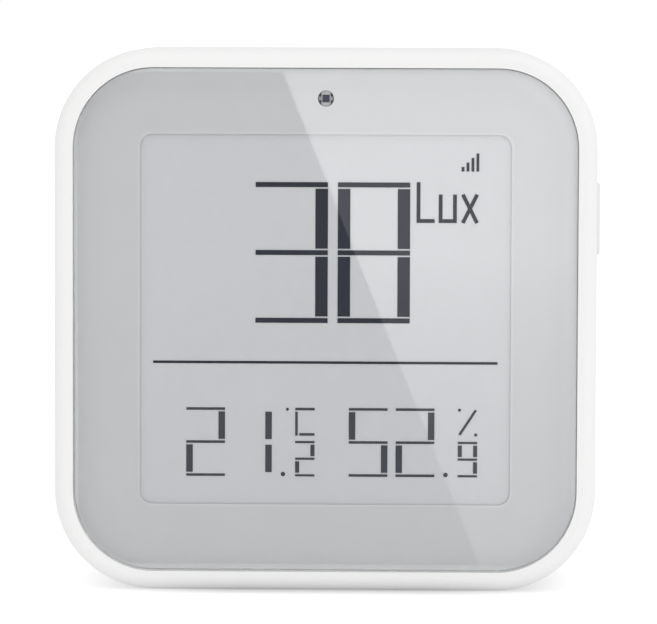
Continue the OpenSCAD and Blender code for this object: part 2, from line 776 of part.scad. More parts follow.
module case_screws() {
    color(steel) stand_up() at_case_screws() translate([0, 0, screw_seat_z])
        pan_screw(screw_d, screw_l, screw_head);
}

// Surface-mounted block on the rear of the board
module on_board(at, size) {
    translate([at[0], at[1], 0]) block(size[0], size[1], board_back_z - size[2], board_back_z);
}

module radio_board() {
    color(board_green) stand_up() on_board(radio_at, radio_size);
}

module radio_shield() {
    face_z = board_back_z - radio_size[2];
    shield_w = radio_size[0] - aerial_w;
    edge = shield_t * 2;
    color(nickel) stand_up() translate([radio_at[0] + aerial_w / 2, radio_at[1], 0]) difference() {
        block(shield_w - 2 * edge, radio_size[1] - 2 * edge, face_z - shield_h, face_z);
        block(shield_w - 2 * edge - 2 * shield_t, radio_size[1] - 2 * edge - 2 * shield_t,
            face_z - shield_h + shield_t, face_z + cut);
    }
}

module controller_chip() {
    color(package_black) stand_up() on_board(above_bay + controller_at, controller_size);
}

module crystal() {
    color(nickel) stand_up() on_board(above_bay + crystal_at, crystal_size);
}

module storage_capacitor() {
    color(capacitor_tan) stand_up() on_board(capacitor_at, capacitor_size);
}

module chip_parts() {
    color(package_clear) stand_up() for (i = [0:chip_count - 1])
        on_board(above_bay + chips_at + [(i - (chip_count - 1) / 2) * chip_pitch, 0], chip_size);
}

module climate_sensor() {
    at = above_bay + climate_at;
    color(package_black) stand_up() difference() {
        on_board(at, climate_size);
        translate([at[0], at[1], board_back_z - climate_size[2] - cut])
            cylinder(d = climate_port_d, h = cut + climate_size[2] / 2);
    }
}

module light_sensor() {
    top_z = ledge_back_z + light_package[2];
    color(package_clear) stand_up() translate([0, light_y, 0]) {
        block(light_package[0], light_package[1], ledge_back_z, top_z);
        block(light_package[0] + 2 * light_terminal[0], light_terminal[1], ledge_back_z, top_z - light_terminal[2]);
    }
}

module light_sensor_die() {
    top_z = ledge_back_z + light_package[2];
    color(package_black) stand_up() translate([0, light_y, 0])
        block(light_die[0], light_die[1], top_z, top_z + light_die[2]);
}

module side_button() {
    foot_end = plunger_tip_x + plunger_gap;
    color(white_plastic) stand_up() at_button() {
        soft_pill(button_size[0], button_size[1], flange_x - flange_t, button_top_x, button_edge_r);
        slot(button_size[0] + 2 * flange_lap, button_size[1] + 2 * flange_lap, flange_x - flange_t, flange_x);
        translate([0, 0, foot_end]) cylinder(d = button_foot_d, h = flange_x - flange_t / 2 - foot_end);
    }
}

module switch_body() {
    color(package_black) stand_up() difference() {
        translate([switch_face_x - switch_size[0] / 2, button_y, 0])
            block(switch_size[0], switch_size[1], board_back_z - switch_size[2], board_back_z);
        translate([switch_face_x - pocket_depth, button_y - plunger_size[1] / 2 - plunger_gap,
            switch_z - plunger_size[2] / 2 - plunger_gap])
            cube([pocket_depth + cut, plunger_size[1] + 2 * plunger_gap, plunger_size[2] + 2 * plunger_gap]);
    }
}

module switch_plunger() {
    color(white_plastic) stand_up()
        translate([plunger_tip_x - plunger_size[0] / 2, button_y, switch_z])
            cube(plunger_size, center = true);
}

module rear_cover() {
    bay_outer = [bay_l + 2 * bay_wall, bay_h + 2 * bay_wall];
    socket_x = door_w / 2 + door_gap;
    socket_l = hinge_pin_l + door_gap;
    color(white_plastic) stand_up() difference() {
        union() {
            difference() {
                soft_slab(case_w, case_corner_r, 0, seam_z, rear_edge_r, 0);
                slab(cavity_w, cavity_w, cavity_r, wall, seam_z + cut);
            }
            difference() {
                slab(lip_outer_w, lip_outer_w, lip_outer_r, seam_z - lip_h, seam_z + lip_h);
                slab(cavity_w, cavity_w, cavity_r, 0, seam_z + lip_h + cut);
            }
            screw_bosses(wall - sink, seam_z, seam_z - sink);
            translate([0, bay_y, 0]) block(bay_outer[0], bay_outer[1], wall / 2, bay_top_z);
            for (side = [-1, 1])
                translate([side * (socket_x + socket_l / 2), hinge_y, 0])
                    block(socket_l, socket_pad, wall / 2, hinge_z + socket_pad);
        }
        translate([0, bay_y, 0]) block(bay_l, bay_h, -cut, floor_z);
        translate([-door_w / 2 - door_gap, bay_y - door_h / 2 - door_gap, -cut])
            cube([door_w + 2 * door_gap, door_h + door_gap + door_free_gap, seat_z + cut]);
        for (side = [-1, 1])
            translate([side * (door_w / 2), hinge_y, hinge_z]) rotate([0, side * 90, 0])
                cylinder(d = hinge_pin_d + 2 * hinge_gap, h = hinge_pin_l + door_gap);
        translate([0, door_top_y, scoop_depth - scoop_r]) sphere(scoop_r);
        at_case_screws() {
            translate([0, 0, -cut]) cylinder(d = screw_head[0] + 2 * screw_head_gap, h = screw_seat_z + cut);
            cylinder(d = screw_d + 2 * screw_pass_gap, h = seam_z + cut);
        }
        for (i = [0:vent_count - 1])
            translate([(i - (vent_count - 1) / 2) * vent_pitch, vent_y, 0])
                slot(vent_size[0], vent_size[1], -cut, wall + cut);
        for (y = cell_y)
            translate([(bay_l - contact_t) / 2, y, 0])
                block(contact_t + 2 * leg_gap, leg_w + 2 * leg_gap, floor_z - cut, bay_top_z + cut);
    }
}

module battery_door() {
    color(white_plastic) stand_up() {
        extrude_x(door_w) {
            translate([hinge_y, door_recess]) square([door_top_y - hinge_y, door_t]);
            translate([hinge_y, hinge_z]) circle(d = door_t);
        }
        for (side = [-1, 1])
            translate([side * (door_w / 2), hinge_y, hinge_z]) rotate([0, side * 90, 0])
                cylinder(d = hinge_pin_d, h = hinge_pin_l);
        translate([-catch_l / 2, door_top_y, hinge_z]) rotate([0, 90, 0]) cylinder(r = catch_h, h = catch_l);
        translate([0, bay_y, 0])
            block(door_rib[0], door_rib[1], door_in_z - door_t / 2, door_in_z + door_rib[2]);
    }
}

// Cell along x, with its terminal towards the side given
module cell(y, side) {
    body_l = cell_l - cell_terminal[1];
    tip_x = bay_l / 2 - contact_t - dimple_h;
    color(sleeve_blue) stand_up() translate([side * tip_x, y, cell_z]) rotate([0, -side * 90, 0]) {
        cylinder(d = cell_terminal[0], h = cell_terminal[1]);
        translate([0, 0, cell_terminal[1]]) cylinder(d = cell_d, h = body_l);
    }
}

module upper_cell() {
    cell(cell_y[1], 1);
}

module lower_cell() {
    cell(cell_y[0], -1);
}

// Contact against an end wall, with a dimple for a cell's terminal
module contact_plate(w, side) {
    translate([side * (bay_l - contact_t) / 2, 0, 0])
        block(contact_t, w, cell_z - contact_size[1] / 2, cell_z + contact_size[1] / 2);
}

module contact_dimple(side) {
    translate([side * (bay_l / 2 - contact_t), 0, cell_z]) rotate([0, -side * 90, 0])
        cylinder(d = dimple_d, h = dimple_h);
}

// Leg of a contact through the bay's floor to the board
module contact_leg() {
    translate([(bay_l - contact_t) / 2, 0, 0]) block(contact_t, leg_w, cell_z, board_back_z);
}

module positive_contact() {
    color(nickel) stand_up() translate([0, cell_y[1], 0]) {
        contact_plate(contact_size[0], 1);
        contact_dimple(1);
        contact_leg();
    }
}

module negative_contact() {
    color(nickel) stand_up() translate([0, cell_y[0], 0]) {
        contact_plate(contact_size[0], 1);
        contact_leg();
    }
}

module link_contact() {
    color(nickel) stand_up() {
        translate([0, bay_y, 0]) contact_plate(cell_pitch + contact_size[0], -1);
        translate([0, cell_y[0], 0]) contact_dimple(-1);
    }
}

// Centre line of a contact spring along z
spring_steps = 12;
spring_ring = 6;
spring_rise = spring_l - spring_wire - 2 * spring_seat;
function spring_point(i) =
    let (share = i / (spring_steps * spring_turns), r = spring_r[0] + (spring_r[1] - spring_r[0]) * share)
    [r * cos(360 * i / spring_steps), r * sin(360 * i / spring_steps),
        spring_wire / 2 + spring_seat + spring_rise * share];
spring_last = spring_steps * spring_turns;
spring_points = [for (i = [0:spring_last]) spring_point(i)];

// Least gap between turns, over points more than half a turn apart
spring_self_gap = min([for (i = [0:spring_last], j = [i + spring_steps / 2:spring_last])
    norm(spring_points[j] - spring_points[i])]) - spring_wire;
echo(spring_self_gap = spring_self_gap);

// Wire ring across the centre line, in the plane of the axis and the radius
function spring_ring_points(i) =
    let (p = spring_points[i], out = [p[0], p[1], 0] / norm([p[0], p[1]]))
    [for (k = [0:spring_ring - 1])
        let (a = 360 * k / spring_ring) p + spring_wire / 2 * (cos(a) * out + sin(a) * [0, 0, 1])];

module contact_spring() {
    faces = concat(
        [for (k = [1:spring_ring - 2]) [0, k, k + 1]],
        [for (i = [0:spring_last - 1], k = [0:spring_ring - 1], half = [0, 1])
            let (a = i * spring_ring + k, b = i * spring_ring + (k + 1) % spring_ring)
            half == 0 ? [a, a + spring_ring, b] : [b, a + spring_ring, b + spring_ring]],
        [for (k = [1:spring_ring - 2])
            let (e = spring_last * spring_ring) [e, e + k + 1, e + k]]);
    polyhedron([for (i = [0:spring_last]) each spring_ring_points(i)], faces);
}

module link_spring() {
    color(steel) stand_up() translate([-bay_l / 2 + contact_t, cell_y[1], cell_z]) rotate([0, 90, 0])
        contact_spring();
}

module negative_spring() {
    color(steel) stand_up() translate([bay_l / 2 - contact_t, cell_y[0], cell_z]) rotate([0, -90, 0])
        contact_spring();
}

front_housing();
front_lens();
lens_mask();
lens_tape();
display_film();
display_segments();
display_glass();
display_foam();
display_ribbon();
ribbon_socket();
main_board();
board_screws();
radio_board();
radio_shield();
controller_chip();
crystal();
storage_capacitor();
chip_parts();
climate_sensor();
light_sensor();
light_sensor_die();
side_button();
switch_body();
switch_plunger();
rear_cover();
battery_door();
upper_cell();
lower_cell();
link_contact();
link_spring();
positive_contact();
negative_contact();
negative_spring();
case_screws();
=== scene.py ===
# %% [markdown]
# # A desk sensor for light, temperature and humidity
# The sensor is a square white case with a glossy grey panel and a segment display behind it. Its exact
# shapes were drawn in CAD, so this lesson loads them as a fixed frame and spends its effort on what the
# eye judges first: the finish of each material, the light, and the pieces that CAD keeps plain.

# %% Load the frame
import math

import bmesh
import bpy
from mathutils import Matrix, Quaternion, Vector


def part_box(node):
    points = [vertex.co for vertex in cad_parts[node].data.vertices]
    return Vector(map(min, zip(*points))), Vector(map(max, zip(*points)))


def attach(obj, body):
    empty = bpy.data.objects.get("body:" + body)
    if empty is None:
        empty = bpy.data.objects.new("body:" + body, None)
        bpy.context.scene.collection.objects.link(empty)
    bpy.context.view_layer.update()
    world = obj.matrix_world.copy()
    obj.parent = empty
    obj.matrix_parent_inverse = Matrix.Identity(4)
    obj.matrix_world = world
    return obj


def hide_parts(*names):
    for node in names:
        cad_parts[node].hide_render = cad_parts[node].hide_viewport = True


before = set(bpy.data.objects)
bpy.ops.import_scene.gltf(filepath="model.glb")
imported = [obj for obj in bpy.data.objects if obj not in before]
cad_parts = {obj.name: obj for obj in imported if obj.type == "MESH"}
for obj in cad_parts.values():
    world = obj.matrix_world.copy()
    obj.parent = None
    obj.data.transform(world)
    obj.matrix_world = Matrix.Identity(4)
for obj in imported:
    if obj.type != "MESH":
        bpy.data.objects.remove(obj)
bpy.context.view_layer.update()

MM = 0.001

# %% [markdown]
# ## Camera
# The photo was taken with a long lens from almost straight ahead, a few degrees above and a hair to the
# right, so the sides stay nearly parallel and a strip of the top edge shows. A camera could be aimed with a
# constraint, but working its place out from angles, distance and image scale keeps every number readable.

# %% Camera
IMAGE_W, IMAGE_H = 657, 624
lens_low, lens_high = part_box("front_lens")
lens_middle = Vector(((lens_low.x + lens_high.x) / 2, lens_low.y, (lens_low.z + lens_high.z) / 2))

azimuth, elevation, roll = math.radians(1.2), math.radians(4.1), math.radians(0.2)
distance = 470 * MM
pixels_per_mm = 9.06
lens_pixel = Vector((325.0, 321.0))

toward_camera = Vector((math.sin(azimuth) * math.cos(elevation), -math.cos(azimuth) * math.cos(elevation),
                        math.sin(elevation)))
shift_mm = (Vector((IMAGE_W, IMAGE_H)) / 2 - lens_pixel) / pixels_per_mm
aim = lens_middle + Vector((shift_mm.x, 0, -shift_mm.y)) * MM

camera = bpy.data.objects.new("camera", bpy.data.cameras.new("camera"))
bpy.context.scene.collection.objects.link(camera)
camera.data.sensor_width = 36
camera.data.lens = pixels_per_mm * distance / MM * camera.data.sensor_width / IMAGE_W
camera.data.clip_start, camera.data.clip_end = 0.01, 100
camera.location = aim + toward_camera * distance
camera.rotation_mode = "QUATERNION"
camera.rotation_quaternion = (-toward_camera).to_track_quat("-Z", "Y") @ Quaternion((0, 0, 1), roll)
bpy.context.scene.camera = camera
print("camera lens in mm:", round(camera.data.lens, 1))

# %% [markdown]
# ## Colours, nodes and finishes
# A colour picked from a picture is stored with a curve that suits screens, while a shader counts light, so
# every hex colour passes through one function that undoes the curve. One small function adds a node, sets
# it and links it, which keeps each finish readable as a list. Patterns are sized in millimetres.
# Most finishes share one idea: a single grain drives colour, roughness and relief together, as it does on
# a real surface, where a raised spot is also the one that is polished or soiled.


# %% Helpers for materials
def to_linear(hex_colour):
    channels = [int(hex_colour[i:i + 2], 16) / 255 for i in (1, 3, 5)]
    return (*[c / 12.92 if c <= 0.04045 else ((c + 0.055) / 1.055) ** 2.4 for c in channels], 1)


def add_node(tree, kind, inputs, **settings):
    node = tree.nodes.new(kind)
    for name, value in settings.items():
        setattr(node, name, value)
    for name, value in inputs.items():
        if isinstance(value, bpy.types.NodeSocket):
            tree.links.new(value, node.inputs[name])
        else:
            node.inputs[name].default_value = value
    return node


def new_finish(name):
    material = bpy.data.materials.new(name)
    material.use_nodes = True
    tree = material.node_tree
    shader = tree.nodes["Principled BSDF"]
    place = add_node(tree, "ShaderNodeTexCoord", {}).outputs["Object"]
    return material, tree, shader, place


def per_metre(size_mm):
    return 1 / (size_mm * MM)


def grained(name, dark, light, grain_mm, roughness, relief_mm, stretch=(1, 1, 1)):
    material, tree, shader, place = new_finish(name)
    along = add_node(tree, "ShaderNodeMapping", {"Vector": place, "Scale": stretch})
    grain = add_node(tree, "ShaderNodeTexNoise", {
        "Vector": along.outputs["Vector"], "Scale": per_metre(grain_mm), "Detail": 3.0}).outputs["Fac"]
    tone = add_node(tree, "ShaderNodeMix", {
        0: grain, 6: to_linear(dark), 7: to_linear(light)}, data_type="RGBA")
    gloss = add_node(tree, "ShaderNodeMapRange", {
        "Value": grain, "To Min": roughness[0], "To Max": roughness[1]})
    relief = add_node(tree, "ShaderNodeBump", {"Height": grain, "Distance": relief_mm * MM})
    tree.links.new(tone.outputs[2], shader.inputs["Base Color"])
    tree.links.new(gloss.outputs["Result"], shader.inputs["Roughness"])
    tree.links.new(relief.outputs["Normal"], shader.inputs["Normal"])
    return material, tree, shader, place, tone.outputs[2]


def dress(material, *nodes):
    for name in nodes:
        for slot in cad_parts[name].material_slots:
            slot.material = material
    print(material.name, "on", ", ".join(nodes))


# %% [markdown]
# ## Floor and light
# The photo is a product shot in a white tent: the backdrop is burnt out to plain white, light comes from
# all round, and only a thin shadow marks where the case stands. The table glows a little from below, as a
# sheet of opal acrylic with a lamp under it does, and one very soft sun from the upper front does the rest.
# So much white bounces the contact shadow away, so a contact shadow is painted in: the table's glow and
# colour both fade close to the foot.

# %% Floor
# Opal acrylic gives the eye an even white without a visible surface.
opal, tree, shader, place, tone = grained(
    "opal_acrylic_table", "#B0B0B0", "#B4B4B4", 2.0, (0.85, 0.95), 0.0005)
shader.inputs["Specular IOR Level"].default_value = 0.1
shader.inputs["Emission Color"].default_value = to_linear("#FFFFFF")

foot_middle, foot_half = Vector((0.6, 0, 0)) * MM, Vector((9, 9, 0)) * MM
shade_reach, front_stretch = 24 * MM, 3.6
glow_at_foot, glow_open = 0.34, 0.66
centred = add_node(tree, "ShaderNodeVectorMath", {0: place, 1: foot_middle}, operation="SUBTRACT")
folded = add_node(tree, "ShaderNodeVectorMath", {0: centred.outputs["Vector"]}, operation="ABSOLUTE")
beyond = add_node(tree, "ShaderNodeVectorMath", {
    0: folded.outputs["Vector"], 1: foot_half}, operation="SUBTRACT")
kept = add_node(tree, "ShaderNodeVectorMath", {
    0: beyond.outputs["Vector"], 1: (0, 0, 0)}, operation="MAXIMUM")
drawn = add_node(tree, "ShaderNodeVectorMath", {
    0: kept.outputs["Vector"], 1: (1, front_stretch, 0)}, operation="MULTIPLY")
away = add_node(tree, "ShaderNodeVectorMath", {0: drawn.outputs["Vector"]}, operation="LENGTH")
lit = add_node(tree, "ShaderNodeMapRange", {
    "Value": away.outputs["Value"], "From Max": shade_reach}, interpolation_type="SMOOTHSTEP")
# Painted contact shadow: the table's colour and glow darken close to the foot.
table_tone = add_node(tree, "ShaderNodeMix", {
    0: lit.outputs["Result"], 6: to_linear("#909092"), 7: tone}, data_type="RGBA")
table_glow = add_node(tree, "ShaderNodeMapRange", {
    "Value": lit.outputs["Result"], "To Min": glow_at_foot, "To Max": glow_open})
tree.links.new(table_tone.outputs[2], shader.inputs["Base Color"])
tree.links.new(table_glow.outputs["Result"], shader.inputs["Emission Strength"])

bm = bmesh.new()
bmesh.ops.create_circle(bm, cap_ends=True, radius=8, segments=96)
floor_mesh = bpy.data.meshes.new("floor")
bm.to_mesh(floor_mesh)
bm.free()
floor_mesh.materials.append(opal)
floor = bpy.data.objects.new("floor", floor_mesh)
bpy.context.scene.collection.objects.link(floor)
print("floor is", round(floor.dimensions.x), "m across")

# %% Sky and sun
sky_strength = 1.0
sky = bpy.data.worlds.new("white_tent")
sky.use_nodes = True
sky.node_tree.nodes["Background"].inputs["Color"].default_value = to_linear("#FFFFFF")
sky.node_tree.nodes["Background"].inputs["Strength"].default_value = sky_strength
bpy.context.scene.world = sky
bpy.context.scene.view_settings.view_transform = "Standard"

sun_travel = Vector((-0.5, 1.0, -0.9))
sun = bpy.data.objects.new("soft_sun", bpy.data.lights.new("soft_sun", "SUN"))
sun.data.energy = 0.7
sun.data.angle = math.radians(80)
sun.rotation_mode = "QUATERNION"
sun.rotation_quaternion = sun_travel.to_track_quat("-Z", "Y")
bpy.context.scene.collection.objects.link(sun)
print("sun of", round(sun.data.energy, 2), "under a sky of", sky_strength)

# %% [markdown]
# ## Reflection board
# A slanted band of glare lies over the right part of the panel: the lens mirrors a straight edge between
# something dark and something bright on the table. Painting it on would freeze it there, so a board lies
# in front of the sensor, below the picture, split along that edge, and only mirror-like surfaces see it.
# The law of reflection places it: a line from the camera's mirror image behind the lens, through a point
# of the lens, meets the floor at what that point shows. The glare's edge gives the split, and the corners
# of the flat face give the outline, so that the lens's rounded edges mirror the white table beside it.
# No other surface is lit by the board, so it isn't sampled as a lamp.

# %% Edge of the glare on the floor
glare_top, glare_foot = Vector((281, 69)), Vector((480, 565))
board_height = 0.2 * MM
mirrored_camera = Vector((camera.location.x, 2 * lens_middle.y - camera.location.y, camera.location.z))


def lens_point(pixel):
    offset = (pixel - lens_pixel) / pixels_per_mm * MM
    return lens_middle + Vector((offset.x, 0, -offset.y))


def floor_seen_at(on_lens):
    drop = (mirrored_camera.z - board_height) / (mirrored_camera.z - on_lens.z)
    return mirrored_camera + (on_lens - mirrored_camera) * drop


edge_far, edge_near = floor_seen_at(lens_point(glare_top)), floor_seen_at(lens_point(glare_foot))
print("glare edge meets the floor from", [round(c / MM) for c in edge_near.xy], "to",
      [round(c / MM) for c in edge_far.xy], "mm")

# %% Reflection board
lens_edge = 0.4 * MM
fade_end = -0.65
bm = bmesh.new()
bmesh.ops.create_grid(bm, x_segments=1, y_segments=1, size=1)
for vertex in bm.verts:
    across = lens_high.x - lens_edge if vertex.co.x > 0 else lens_low.x + lens_edge
    up = lens_low.z + lens_edge if vertex.co.y > 0 else lens_high.z - lens_edge
    vertex.co = floor_seen_at(Vector((across, lens_middle.y, up)))
edge_normal = (edge_far - edge_near).cross(Vector((0, 0, 1)))
bmesh.ops.bisect_plane(bm, geom=bm.verts[:] + bm.edges[:] + bm.faces[:], plane_co=edge_near,
                       plane_no=edge_normal)
for face in bm.faces:
    face.material_index = int((face.calc_center_median() - edge_near).dot(edge_normal) < 0)
board_mesh = bpy.data.meshes.new("reflection_board")
bm.to_mesh(board_mesh)
bm.free()
for name, near_glow, far_glow in (("board_dark", 0.30, 0.42), ("board_bright", 0.60, 1.5)):
    glow, tree, shader, place = new_finish(name)
    glow.cycles.emission_sampling = "NONE"
    tree.nodes.remove(shader)
    parts = add_node(tree, "ShaderNodeSeparateXYZ", {"Vector": place})
    fade = add_node(tree, "ShaderNodeMapRange", {
        "Value": parts.outputs["Y"], "From Min": lens_middle.y, "From Max": fade_end,
        "To Min": near_glow, "To Max": far_glow})
    light = add_node(tree, "ShaderNodeEmission", {"Strength": fade.outputs["Result"]})
    tree.links.new(light.outputs["Emission"], tree.nodes["Material Output"].inputs["Surface"])
    board_mesh.materials.append(glow)
board = bpy.data.objects.new("reflection_board", board_mesh)
board.visible_camera = board.visible_diffuse = board.visible_transmission = board.visible_shadow = False
bpy.context.scene.collection.objects.link(board)
print("reflection board has", len(board_mesh.polygons), "faces")

# %% [markdown]
# ## White case
# Case, cover, door and key are moulded ABS. The mould was spark-eroded to a fine matt skin that hides sink
# marks and finger prints. A bump of fine noise gives that skin, and slow noise in colour and roughness
# keeps large faces from looking like paint on a screen.

# %% White ABS
# Spark texture gives the eye a soft sheen with no mirror image. Its real grain of some hundredths of a
# millimetre is too fine for the picture, so it is drawn at a quarter of a millimetre.
abs_white, tree, shader, place, tone = grained(
    "abs_white_spark_textured", "#D9D9D9", "#DFDFDE", 0.25, (0.40, 0.52), 0.002)
flow = add_node(tree, "ShaderNodeTexNoise", {"Vector": place, "Scale": per_metre(14), "Detail": 2.0})
veil = add_node(tree, "ShaderNodeMix", {
    0: flow.outputs["Fac"], 6: to_linear("#DADADA"), 7: to_linear("#DEDEDD")}, data_type="RGBA")
both = add_node(tree, "ShaderNodeMix", {0: 0.5, 6: tone, 7: veil.outputs[2]}, data_type="RGBA")
tree.links.new(both.outputs[2], shader.inputs["Base Color"])
shader.inputs["IOR"].default_value = 1.53
dress(abs_white, "front_housing", "rear_cover", "battery_door", "side_button", "switch_plunger")

# %% [markdown]
# ## Front lens
# The panel is a sheet of clear acrylic with its front edge milled round and flame-polished. The CAD solid
# has the right shape, but its flat face is cut into long thin triangles, and a mirror shows every slip of
# shading on them. So the sheet is made again: a block, its four corners bevelled, then its front edge, with
# normals weighted by area so that the face stays flat. It ends a hair in front of the print behind it,
# because two faces in the same place flicker.

# %% Shape of the lens
lens_corner = 8.8 * MM
glue_line = 0.02 * MM
sheet_low, sheet_high = lens_low.copy(), lens_high.copy()
sheet_high.y -= glue_line
sheet_size = sheet_high - sheet_low

bm = bmesh.new()
bmesh.ops.create_cube(bm, size=1, matrix=Matrix.LocRotScale((sheet_low + sheet_high) / 2, None, sheet_size))
corners = [e for e in bm.edges if abs(e.verts[0].co.y - e.verts[1].co.y) > sheet_size.y / 2]
bmesh.ops.bevel(bm, geom=corners, offset=lens_corner, affect="EDGES", segments=24, profile=0.5, material=-1)
front = [e for e in bm.edges if max(v.co.y for v in e.verts) < sheet_low.y + sheet_size.y / 2]
bmesh.ops.bevel(bm, geom=front, offset=lens_edge, affect="EDGES", segments=6, profile=0.5, material=-1)
for face in bm.faces:
    face.smooth = True
    face.material_index = int(face.normal.y > 0.9)
for edge in bm.edges:
    edge.smooth = edge.calc_face_angle() < math.radians(40)
lens_mesh = bpy.data.meshes.new("panel_lens")
bm.to_mesh(lens_mesh)
bm.free()
panel_lens = bpy.data.objects.new("panel_lens", lens_mesh)
bpy.context.scene.collection.objects.link(panel_lens)
panel_lens.modifiers.new("flat_face_normals", "WEIGHTED_NORMAL").keep_sharp = True
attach(panel_lens, "case")
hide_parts("front_lens")
print("lens has", len(lens_mesh.polygons), "faces and is", round(sheet_size.y / MM, 2), "mm thick")

# %% [markdown]
# ## Clear acrylic
# What shows is the print behind the lens, and over that the mirror image of the room, faint when seen
# straight on and stronger at a slant. A true refracting shader would make the display behind it noisy, and
# the sheet is too thin to bend what is seen, so a transparent shader is mixed with a mirror. Their shares
# follow Schlick's form of Fresnel's law, which also serves the light that comes back out: a Fresnel node
# would trap it inside, as thick glass does. The back is glued to the print and mirrors nothing.

# %% Clear acrylic
# Flame-polished acrylic gives the eye a sharp mirror, dulled here and there by a wiped smear.
acrylic, tree, shader, place = new_finish("acrylic_clear_polished")
tree.nodes.remove(shader)
smear = add_node(tree, "ShaderNodeTexNoise", {"Vector": place, "Scale": per_metre(9), "Detail": 3.0})
polish = add_node(tree, "ShaderNodeMapRange", {
    "Value": smear.outputs["Fac"], "To Min": 0.004, "To Max": 0.014})
mirror = add_node(tree, "ShaderNodeBsdfGlossy", {
    "Color": to_linear("#FFFFFF"), "Roughness": polish.outputs["Result"]})
clear = add_node(tree, "ShaderNodeBsdfTransparent", {"Color": to_linear("#FEFEFE")})
straight_on = 0.039
slant = add_node(tree, "ShaderNodeLayerWeight", {"Blend": 0.5})
steep = add_node(tree, "ShaderNodeMath", {0: slant.outputs["Facing"], 1: 5.0}, operation="POWER")
share = add_node(tree, "ShaderNodeMath", {
    0: steep.outputs["Value"], 1: 1 - straight_on, 2: straight_on}, operation="MULTIPLY_ADD")
sheet_mix = add_node(tree, "ShaderNodeMixShader", {
    0: share.outputs["Value"], 1: clear.outputs["BSDF"], 2: mirror.outputs["BSDF"]})
tree.links.new(sheet_mix.outputs["Shader"], tree.nodes["Material Output"].inputs["Surface"])

# Glued acrylic gives the eye nothing at all: glue and sheet bend light alike.
glued, tree, shader, place = new_finish("acrylic_clear_glued_back")
tree.nodes.remove(shader)
haze = add_node(tree, "ShaderNodeTexNoise", {"Vector": place, "Scale": per_metre(12), "Detail": 2.0})
tint = add_node(tree, "ShaderNodeMix", {
    0: haze.outputs["Fac"], 6: to_linear("#FDFDFD"), 7: to_linear("#FFFFFF")}, data_type="RGBA")
clear = add_node(tree, "ShaderNodeBsdfTransparent", {"Color": tint.outputs[2]})
tree.links.new(clear.outputs["BSDF"], tree.nodes["Material Output"].inputs["Surface"])
for material in (acrylic, glued):
    panel_lens.data.materials.append(material)
print("lens finishes:", [m.name for m in panel_lens.data.materials])

# %% [markdown]
# ## Print, film and segments
# Behind the lens lie a screen-printed grey border, the display's pale film and its dark segments. The
# window in the print has rounded corners. A light line painted along its edge is a painted highlight, and a
# paler rim painted on the film inside it is painted light that softens the shade of that edge. Light that
# enters the lens through its own edge brightens the print at the top and on the right, where the lamp is. All
# of these need the distance from a square with round corners, which a few vector nodes work out: fold the
# face onto one quarter, take off the straight part, and what is left is the distance from the corner's
# centre.

# %% Distance from a square with round corners
window_half, window_corner = 20.55 * MM, 1.4 * MM
lens_half = (lens_high.x - lens_low.x) / 2


def past_edge(tree, place, middle, half, corner):
    straight = half - corner
    centred = add_node(tree, "ShaderNodeVectorMath", {0: place, 1: middle}, operation="SUBTRACT")
    folded = add_node(tree, "ShaderNodeVectorMath", {0: centred.outputs["Vector"]}, operation="ABSOLUTE")
    beyond = add_node(tree, "ShaderNodeVectorMath", {
        0: folded.outputs["Vector"], 1: (straight, 1, straight)}, operation="SUBTRACT")
    kept = add_node(tree, "ShaderNodeVectorMath", {
        0: beyond.outputs["Vector"], 1: (0, 0, 0)}, operation="MAXIMUM")
    reach = add_node(tree, "ShaderNodeVectorMath", {0: kept.outputs["Vector"]}, operation="LENGTH")
    return add_node(tree, "ShaderNodeMath", {
        0: reach.outputs["Value"], 1: corner}, operation="SUBTRACT").outputs["Value"]


print("window is", round(2 * window_half / MM, 1), "mm wide, lens", round(2 * lens_half / MM, 1), "mm")

# %% Grey screen print
# Two passes of grey ink behind acrylic give the eye an even tone with a reflection of its own. A thin
# dark ring painted around the hole of the light sensor is painted shade for the edge of the hole.
print_grey, tree, shader, place, tone = grained(
    "screen_print_grey_on_acrylic", "#B8BABC", "#BCBEC0", 1.5, (0.008, 0.018), 0.0)
past_window = past_edge(tree, place, lens_middle, window_half, window_corner)
# Painted highlight: a light line along the window's edge in the print.
edge_highlight_w, edge_highlight_end = 0.12 * MM, 0.3 * MM
window_edge_highlight = add_node(tree, "ShaderNodeMapRange", {
    "Value": past_window, "From Min": edge_highlight_w, "From Max": edge_highlight_end, "To Min": 1, "To Max": 0})
highlighted = add_node(tree, "ShaderNodeMix", {
    0: window_edge_highlight.outputs["Result"], 6: tone, 7: to_linear("#C0C2C4")}, data_type="RGBA")
away_from_lamp = Vector((-1, 0, -1)) * MM
edge_light_start, edge_light_full = -1.2 * MM, 1.0 * MM
past_lens = past_edge(tree, place, lens_middle + away_from_lamp, lens_half, lens_corner)
edge_light = add_node(tree, "ShaderNodeMapRange", {
    "Value": past_lens, "From Min": edge_light_start, "From Max": edge_light_full},
    interpolation_type="SMOOTHSTEP")
edged = add_node(tree, "ShaderNodeMix", {
    0: edge_light.outputs["Result"], 6: highlighted.outputs[2], 7: to_linear("#C8CACC")}, data_type="RGBA")
sensor_low, sensor_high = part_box("light_sensor")
hole_middle = (sensor_low + sensor_high) / 2
hole_middle.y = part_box("lens_mask")[0].y
# Painted shade: a thin dark ring in the print around the sensor's hole.
hole_shade_r = 0.9 * MM
from_hole = add_node(tree, "ShaderNodeVectorMath", {0: place, 1: hole_middle}, operation="DISTANCE")
hole_edge_shade = add_node(tree, "ShaderNodeMath", {
    0: from_hole.outputs["Value"], 1: hole_shade_r}, operation="LESS_THAN")
hole_shaded = add_node(tree, "ShaderNodeMix", {
    0: hole_edge_shade.outputs["Value"], 6: edged.outputs[2], 7: to_linear("#3A393D")}, data_type="RGBA")
tree.links.new(hole_shaded.outputs[2], shader.inputs["Base Color"])
shader.inputs["Specular IOR Level"].default_value = 1.0
shader.inputs["IOR"].default_value = 1.6
dress(print_grey, "lens_mask")

